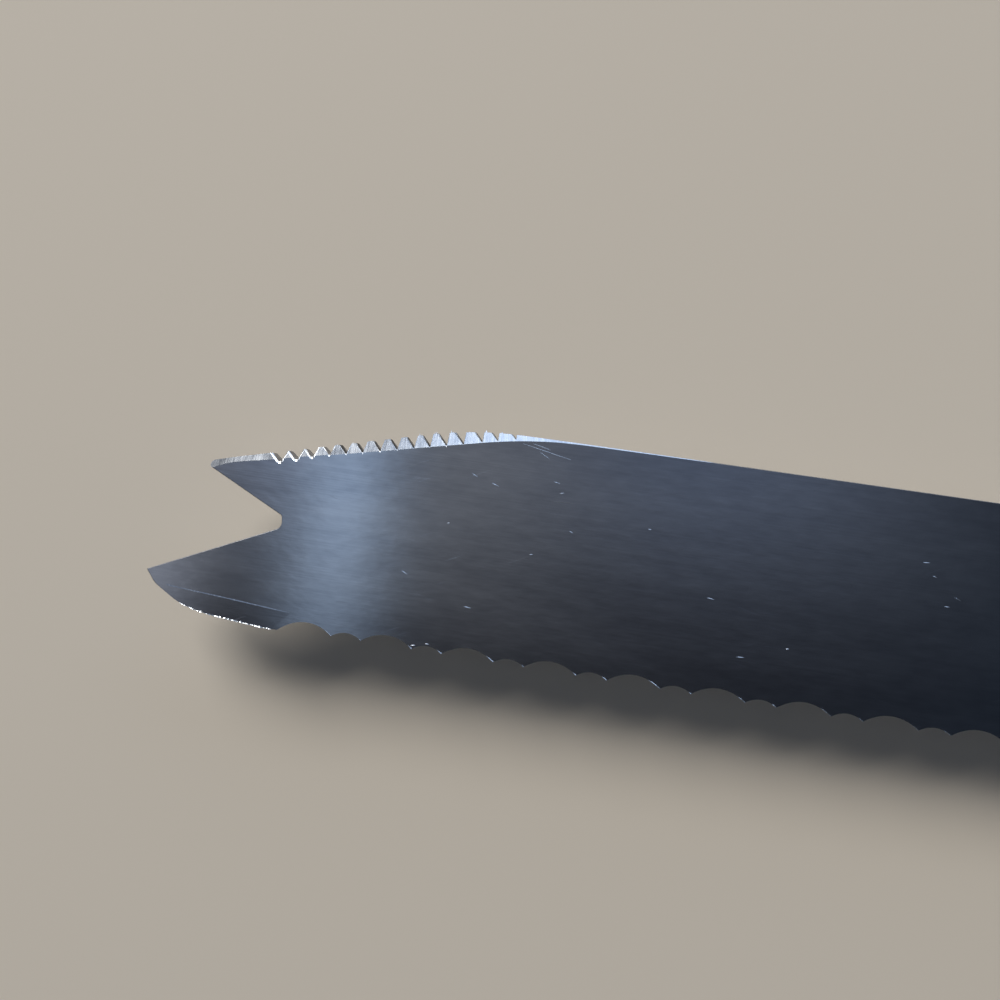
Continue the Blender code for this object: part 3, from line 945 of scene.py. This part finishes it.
# Small bright nicks: those at the places given, and more over the rest of the blade
nicks = {
    "places": [
        (29.5, 16.8), (31.5, 16.2), (27.7, 12.05), (37.1, 17.2), (37.7, 16.3), (39.05, 12.9),
        (35.7, 10.3), (46.1, 14.2), (30.6, 4.6), (24.3, 6.9), (52.4, 8.8), (27.4, 0.66),
        (26.1, 0.34),
    ],
    "more": 12,
    "room": ((55, 117), (3, 19)),
    "turn": (-0.5, 0.3),  # radians
    "length": (0.3, 0.75),
    # along a nick: place between its ends, width, height
    "shape": [(-1, 0.01, 0.002), (-0.3, 0.09, 0.033), (0.4, 0.065, 0.024), (1, 0.01, 0.002)],
}


def scaled(size, shares):
    width, height = size
    return [(width * share, height * share) for share in shares]


def addRidge(work, path, sizes, across, slant=0.0):
    # a low ridge along a path, three-sided in section
    rings = []
    for point, (width, height) in zip(path, sizes):
        foot = point - Vector((0, 0, wear["rooted"]))
        crest = point + across * width * slant + Vector((0, 0, height))
        rings.append([work.verts.new(p) for p in (
            foot - across * width / 2, foot + across * width / 2, crest)])
    for a, b in zip(rings, rings[1:]):
        for i in range(3):
            j = (i + 1) % 3
            work.faces.new((a[i], a[j], b[j], b[i]))
    work.faces.new(rings[0][::-1])
    work.faces.new(rings[-1])


def addFlake(work, root, along, out, width, reach):
    # a torn flake of metal: a thin four-sided point that goes on in the plane of the bevel
    _, back, under = flakes["root"]
    tip = work.verts.new(root + out * reach - Vector((0, 0, (reach + back) * bevelFall)))
    corners = [work.verts.new(p) for p in (
        root - along * width / 2 - out * back, root + along * width / 2 - out * back,
        root - Vector((0, 0, under)))]
    work.faces.new(corners)
    for i in range(3):
        work.faces.new((corners[i], corners[(i + 1) % 3], tip))


def backHeight(x):
    # the back's outline: the straight slope, the crown's arc and the level back
    angle = radians(blade["slopeAngle"])
    crown = blade["crownRadius"]
    reach = crown * tan(angle / 2)
    end = blade["slopeLength"] + reach
    if x >= end:
        return blade["width"]
    if x <= blade["slopeLength"] - reach * cos(angle):
        return slopeHeight(x)
    return blade["width"] - crown + sqrt(crown ** 2 - (end - x) ** 2)


def addToothFlakes(work, rng):
    along, up = directions(radians(teeth["lineAngle"]))
    for index, ((x0, y0), (x1, _)) in enumerate(zip(teeth["gullets"], teeth["gullets"][1:])):
        tall = (backHeight(x0) - y0) * along.x
        reachLeft = flankLeans(index)[1] * tall + flakes["worn"]
        reachRight = flankLeans(index + 1)[0] * tall + flakes["worn"]
        left = x0 + reachLeft * along.x - tall * along.y
        right = x1 - reachRight * along.x - tall * along.y
        room = max(right - left, flakes["leastTop"])
        torn = [rng.uniform(*flakes["reach"]) for _ in flakes["places"]]
        for share, reach in zip(flakes["places"], flakes["peaks"].get(index, torn)):
            x = left + room * share
            y = backHeight(x) - flakes["root"][0]
            z = frontFace - (y - bevelHeight(x)) * along.x * bevelFall
            width = min(rng.uniform(*flakes["width"]), flakes["widest"] * room)
            addFlake(work, Vector((x, y, z)), along, up, width, reach)


def addBellyBurr(work, rng):
    first, last = bellyBurr["ends"]
    grows, dies = bellyBurr["fades"]
    least, more = bellyBurr["width"]
    belly = sorted(p for p in roundedPath(bladeCorners()) if p[1] < edge["bevelRear"])
    count = int((last - first) / bellyBurr["step"])
    path, sizes = [], []
    for step in range(count + 1):
        x = first + (last - first) * step / count
        place = next(i for i, p in enumerate(belly) if p[0] > x)
        (x0, y0), (x1, y1) = belly[place - 1], belly[place]
        y = y0 + (y1 - y0) * (x - x0) / (x1 - x0)
        line = edge["bevelRear"] + (edge["bevelFront"] - edge["bevelRear"]) * (
            1 - x / edge["bevelEnd"])
        z = frontFace - (line - y) * tan(radians(edge["bevelAngle"]))
        path.append(Vector((x, y, z)) + bellyBurr["shift"])
        fade = min(1, step / grows, (count - step) / dies)
        width = least + more * rng.random() ** bellyBurr["thinning"] * fade
        sizes.append((width, width * rng.uniform(*bellyBurr["steepness"])))
    addRidge(work, path, sizes, bellyBurr["across"], bellyBurr["slant"])


def addScallopBurr(work, rng):
    # the edge turned up by the grinding, along the last stretch of each scallop to its point
    least, growth = scallopBurr["growth"]
    start = edge["start"]
    for pair in range(scallopPairs() - 1):
        for chord, depth in ((edge["longScallop"], edge["longDepth"]),
                             (edge["shortScallop"], edge["shortDepth"])):
            arc = scallopArc(start, chord, depth, 0.0, 0.0)
            arc = arc[int(len(arc) * rng.uniform(*scallopBurr["start"])):]
            path = [Vector((x, scallopBurr["shift"] - level / sin(grindTurn), frontFace))
                    for x, level in arc]
            last = len(path) - 1
            shares = [min(1.0, least + growth * i / last) * rng.uniform(*scallopBurr["torn"])
                      for i in range(last + 1)]
            addRidge(work, path, scaled(scallopBurr["size"], shares),
                     scallopBurr["across"], scallopBurr["slant"])
            start += chord


def addFaceMarks(work, rng):
    steps, wander = fineScratches["steps"], fineScratches["wander"]
    for start, end in fineScratches["lines"]:
        start, end = Vector((*start, frontFace)), Vector((*end, frontFace))
        across = leftOf((end - start).normalized())
        path = [start.lerp(end, i / steps) + across * rng.uniform(-wander, wander)
                for i in range(steps + 1)]
        # thin at both ends
        taper = [sin(pi * (0.04 + 0.92 * i / steps)) ** 0.5 for i in range(steps + 1)]
        addRidge(work, path, scaled(fineScratches["size"], taper), across)
    corners = [Vector((x, y, frontFace)) for x, y in grindLine["points"]]
    line = smoothPath(corners, grindLine["steps"])
    least, grows = grindLine["fade"]
    fades = [min(1.0, least + min(i, len(line) - 1 - i) / grows) for i in range(len(line))]
    shares = [fade * rng.uniform(*grindLine["torn"]) for fade in fades]
    addRidge(work, line, scaled(grindLine["size"], shares), grindLine["across"],
             grindLine["slant"])
    places = list(nicks["places"])
    alongRoom, upRoom = nicks["room"]
    for _ in range(nicks["more"]):
        places.append((rng.uniform(*alongRoom), rng.uniform(*upRoom)))
    for x, y in places:
        ahead, across = directions(rng.uniform(*nicks["turn"]))
        reach = rng.uniform(*nicks["length"]) / 2
        middle = Vector((x, y, frontFace))
        path = [middle + ahead * reach * place for place, _, _ in nicks["shape"]]
        addRidge(work, path, [size for _, *size in nicks["shape"]], across)


def makeWear(surface):
    # burrs and scratches as their own small pieces, all left by grinding and use
    rng = random.Random(wear["seed"])
    adders = {"toothFlakes": addToothFlakes, "bellyBurr": addBellyBurr,
              "scallopBurr": addScallopBurr, "faceMarks": addFaceMarks}
    for name, adder in adders.items():
        work = bmesh.new()
        adder(work, rng)
        bmesh.ops.recalc_face_normals(work, faces=work.faces)
        settle(newPiece(name, toMesh(work, name), [surface]))


# Handle

def makeScale(name, node, side, surface):
    outline = roundedPath(handleCorners(), outlineSagitta, handle["largestStep"])
    outer = frontFace + handle["scaleRise"]
    steps = [(0.0, side * (frontFace + handle["glueGap"]))]
    for step in range(handle["edgeSteps"] + 1):
        angle = pi / 2 * step / handle["edgeSteps"]
        inset = handle["edgeInset"] * (1 - cos(angle) ** handle["edgeFullness"])
        drop = handle["edgeDrop"] * (1 - sin(angle) ** handle["edgeFullness"])
        steps.append((inset, side * (outer - drop)))
    piece = newPiece(name, loftMesh(name, stepInward(outline, steps)), [surface])
    holes = []
    for place in rivetPlaces():
        head = circle(place, rivet["headDiameter"] / 2 + rivet["seatClearance"], rivet["steps"])
        seat = outer - rivet["headThickness"] - rivet["pinClearance"]
        beyond = outer + overshoot
        holes.append((prism("seat", head, *sorted((side * seat, side * beyond))), None))
        holes.append((prism("bore", rivetBore(place), -side * overshoot, side * beyond), None))
    carve(piece, holes)
    smoothUpTo(piece.data, handle["sharpAngle"])
    settle(piece)
    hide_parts(node)


def makeRivetHalf(name, node, place, side, tubed, surface):
    head = rivet["headDiameter"] / 2
    tube = rivet["tubeDiameter"] / 2
    bore = tube - rivet["tubeWall"]
    pin = bore - rivet["pinClearance"]
    top = frontFace + handle["scaleRise"] - rivet["sunk"]
    seat = top - rivet["headThickness"]
    end = rivet["endClearance"] - seat
    chamfer = rivet["rimChamfer"]
    crown = rivet["crown"]
    profile = [(0, top + crown), (head / 2, top + crown * rivet["crownShare"]),
               (head - chamfer, top), (head, top - chamfer), (head, seat)]
    if tubed:
        profile += [(tube, seat), (tube, end), (bore, end), (bore, seat), (0, seat)]
    else:
        point = rivet["pinChamfer"]
        profile += [(pin, seat), (pin, end + point), (pin - point, end), (0, end)]
    work = bmesh.new()
    line = [work.verts.new((r, 0, h)) for r, h in profile]
    for a, b in zip(line, line[1:]):
        work.edges.new((a, b))
    bmesh.ops.spin(
        work, geom=work.verts[:] + work.edges[:], cent=(0, 0, 0), axis=(0, 0, 1),
        angle=tau, steps=rivet["steps"], use_merge=True,
    )
    bmesh.ops.remove_doubles(work, verts=work.verts, dist=0.0005)
    bmesh.ops.recalc_face_normals(work, faces=work.faces)
    mesh = toMesh(work, name)
    flip = Matrix.Rotation(0 if side > 0 else pi, 4, "X")
    mesh.transform(Matrix.Translation(place) @ flip)
    smoothUpTo(mesh, handle["sharpAngle"])
    piece = newPiece(name, mesh, [surface])
    settle(piece)
    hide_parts(node)


# Stage

def makeCamera():
    data = bpy.data.cameras.new("photoCamera")
    data.lens = photoCamera["lens"]
    data.sensor_width = photoCamera["sensor"]
    data.clip_start, data.clip_end = photoCamera["clip"]
    camera = bpy.data.objects.new("photoCamera", data)
    camera.location = toRowMatrix @ Vector(photoCamera["place"])
    camera.rotation_euler = [radians(a) for a in photoCamera["angles"]]
    bpy.context.scene.collection.objects.link(camera)
    bpy.context.scene.camera = camera


def makeLights():
    aim = toRowMatrix @ Vector(studio["aim"])
    for name, panel in panels.items():
        elevation, turn = radians(panel["elevation"]), radians(panel["turn"])
        data = bpy.data.lights.new(name, "AREA")
        data.shape = "RECTANGLE"
        data.size, data.size_y = (side * mm for side in panel["size"])
        data.color = linearColour(panel["colour"])[:3]
        data.energy = panel["power"]
        lamp = bpy.data.objects.new(name, data)
        lamp.location = aim + panel["distance"] * mm * Vector((
            sin(turn) * cos(elevation),
            cos(turn) * cos(elevation),
            sin(elevation),
        ))
        lamp.rotation_euler = (aim - lamp.location).to_track_quat("-Z", "Y").to_euler()
        bpy.context.scene.collection.objects.link(lamp)


def makeWorld():
    world = bpy.data.worlds.new("studioRoom")
    bpy.context.scene.world = world
    world.use_nodes = True
    tree = world.node_tree
    background = tree.nodes["Background"]
    way = addNode(tree, "TexCoord")
    split = addNode(tree, "SeparateXYZ", None, None, {0: (way, "Generated")})
    room = addNode(tree, "ValToRGB", None, None, {"Fac": (split, "Z")}, studio["roomTones"])
    height = addNode(tree, "Math", {"operation": "MAXIMUM"}, {1: studio["leastHeight"]}, {0: (split, "Z")})
    slope = addNode(tree, "VectorMath", {"operation": "DIVIDE"}, None,
                    {0: (way, "Generated"), 1: (height, "Value")})
    total = (room, "Color")
    for middle, spread, colour, amount in roomPatches:
        scale = [1 / s for s in spread]
        shift = [-m * s for m, s in zip(middle, scale)]
        away = addNode(tree, "VectorMath", {"operation": "MULTIPLY_ADD"},
                       {1: (*scale, 0), 2: (*shift, 0)}, {0: (slope, "Vector")})
        square = addNode(tree, "VectorMath", {"operation": "DOT_PRODUCT"}, None,
                         {0: (away, "Vector"), 1: (away, "Vector")})
        bell = addNode(tree, "Math", {"operation": "POWER"}, {0: exp(-0.5)}, {1: (square, "Value")})
        share = addNode(tree, "Math", {"operation": "MULTIPLY"}, {1: amount}, {0: (bell, "Value")})
        total = (addNode(
            tree, "Mix", {"data_type": "RGBA"}, {"B": linearColour(colour)},
            {"Factor": (share, "Value"), "A": total},
        ), "Result")
    seen = addNode(tree, "LightPath")
    shown = addNode(
        tree, "Mix", {"data_type": "RGBA"},
        {"B": linearColour(studio["backdropColour"])},
        {"Factor": (seen, "Is Camera Ray"), "A": total},
    )
    tree.links.new(shown.outputs["Result"], background.inputs["Color"])
    background.inputs["Strength"].default_value = 1.0


def makeFloor():
    # matt paper, evenly toned, so that nothing of it competes with the knife
    made, tree, shader = newMaterial("mattePaperSweep")
    feed(tree, shader, {"Base Color": linearColour(studio["floorColour"]),
                        "Roughness": studio["floorRoughness"]})
    work = bmesh.new()
    bmesh.ops.create_grid(work, x_segments=8, y_segments=8, size=studio["floorSize"] / 2 * mm)
    newPiece("floor", toMesh(work, "floor"), [made])


toRowMatrix = Matrix.Translation(knifeOrigin()) @ Matrix.Scale(mm, 4)
bpy.context.scene.view_settings.view_transform = "Standard"
makeCamera()
makeWorld()
makeLights()
makeFloor()
print("camera, lights and floor are in place")

ground = toolMarkedMetal(grind)
makeBlade([polishedStainlessSteel(), ground, cutSteel(stamped), cutSteel(filed)])
makeWear(ground)
print("blade is ground")

hardwood = oiledHardwood()
makeScale("upperScale", "upper_scale", 1, hardwood)
makeScale("lowerScale", "lower_scale", -1, hardwood)
brass = toolMarkedMetal(rivetBrass)
for number, rivetPlace in enumerate(rivetPlaces(), start=1):
    makeRivetHalf(f"rivet{number}PinHalf", f"rivet_{number}_pin_half", rivetPlace, 1, False, brass)
    makeRivetHalf(f"rivet{number}TubeHalf", f"rivet_{number}_tube_half", rivetPlace, -1, True, brass)
print("handle is riveted")
